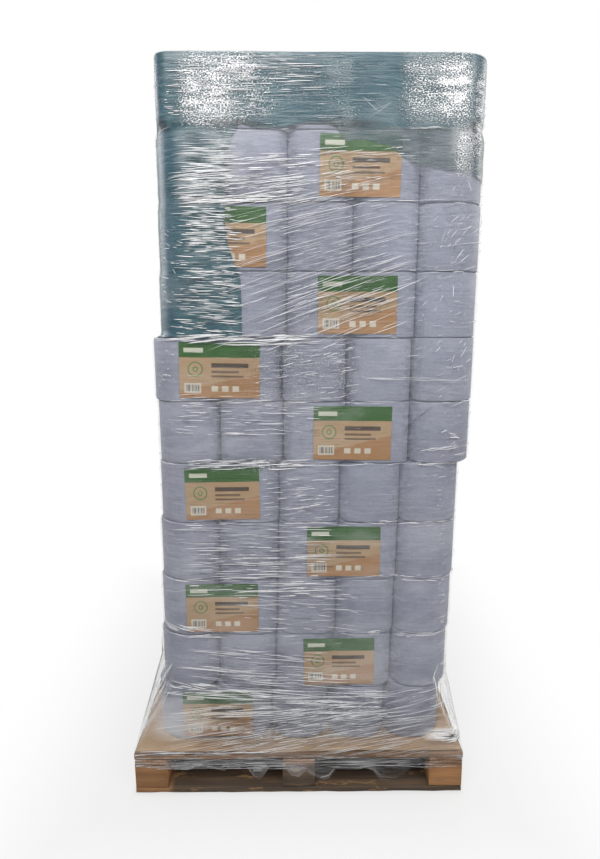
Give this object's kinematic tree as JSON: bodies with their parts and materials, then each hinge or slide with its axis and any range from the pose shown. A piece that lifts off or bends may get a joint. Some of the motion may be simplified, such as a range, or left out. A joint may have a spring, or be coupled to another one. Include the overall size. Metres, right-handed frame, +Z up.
{
  "type": "shrink wrapped pallet load",
  "caption": "Wooden block pallet stacked with film packs of blue paper rolls, under a teal top sheet and clear film wound round the load down to the pallet rim.",
  "frame": {"origin": "on the floor under the middle of the pallet", "axes": "+Z up; the front, a short side of the pallet, faces -Y; +X to the right seen from the front"},
  "size_m": [1.0187, 1.2026, 2.0944],
  "materials": {
    "paper": "matt embossed paper under clear wrap",
    "label": "printed paper, kraft tan with a green band",
    "board": "brown board",
    "tinted_film": "thin teal tinted polythene",
    "clear_film": "clear stretch film",
    "pallet_wood": "bare sawn softwood"
  },
  "bodies": {
    "root": {"base_board_front": "pallet_wood", "base_board_left": "pallet_wood", "base_board_middle": "pallet_wood", "base_board_rear": "pallet_wood", "base_board_right": "pallet_wood", "block_front_left": "pallet_wood", "block_front_middle": "pallet_wood", "block_front_right": "pallet_wood", "block_middle_left": "pallet_wood", "block_middle_middle": "pallet_wood", "block_middle_right": "pallet_wood", "block_rear_left": "pallet_wood", "block_rear_middle": "pallet_wood", "block_rear_right": "pallet_wood", "deck_board_1": "pallet_wood", "deck_board_2": "pallet_wood", "deck_board_3": "pallet_wood", "deck_board_4": "pallet_wood", "deck_board_5": "pallet_wood", "deck_board_6": "pallet_wood", "deck_board_7": "pallet_wood", "label_layer_01": "label", "label_layer_02": "label", "label_layer_03": "label", "label_layer_04": "label", "label_layer_05": "label", "label_layer_06": "label", "label_layer_07": "label", "label_layer_08": "label", "label_layer_09": "label", "label_layer_10": "label", "label_layer_11": "label", "leader_board_left": "pallet_wood", "leader_board_middle": "pallet_wood", "leader_board_right": "pallet_wood", "pack_layer_01": "paper", "pack_layer_02": "paper", "pack_layer_03": "paper", "pack_layer_04": "paper", "pack_layer_05": "paper", "pack_layer_06": "paper", "pack_layer_07": "paper", "pack_layer_08": "paper", "pack_layer_09": "paper", "pack_layer_10": "paper", "pack_layer_11": "paper", "slip_sheet": "board", "stretch_film": "clear_film", "top_sheet": "tinted_film"}
  },
  "joints": []
}
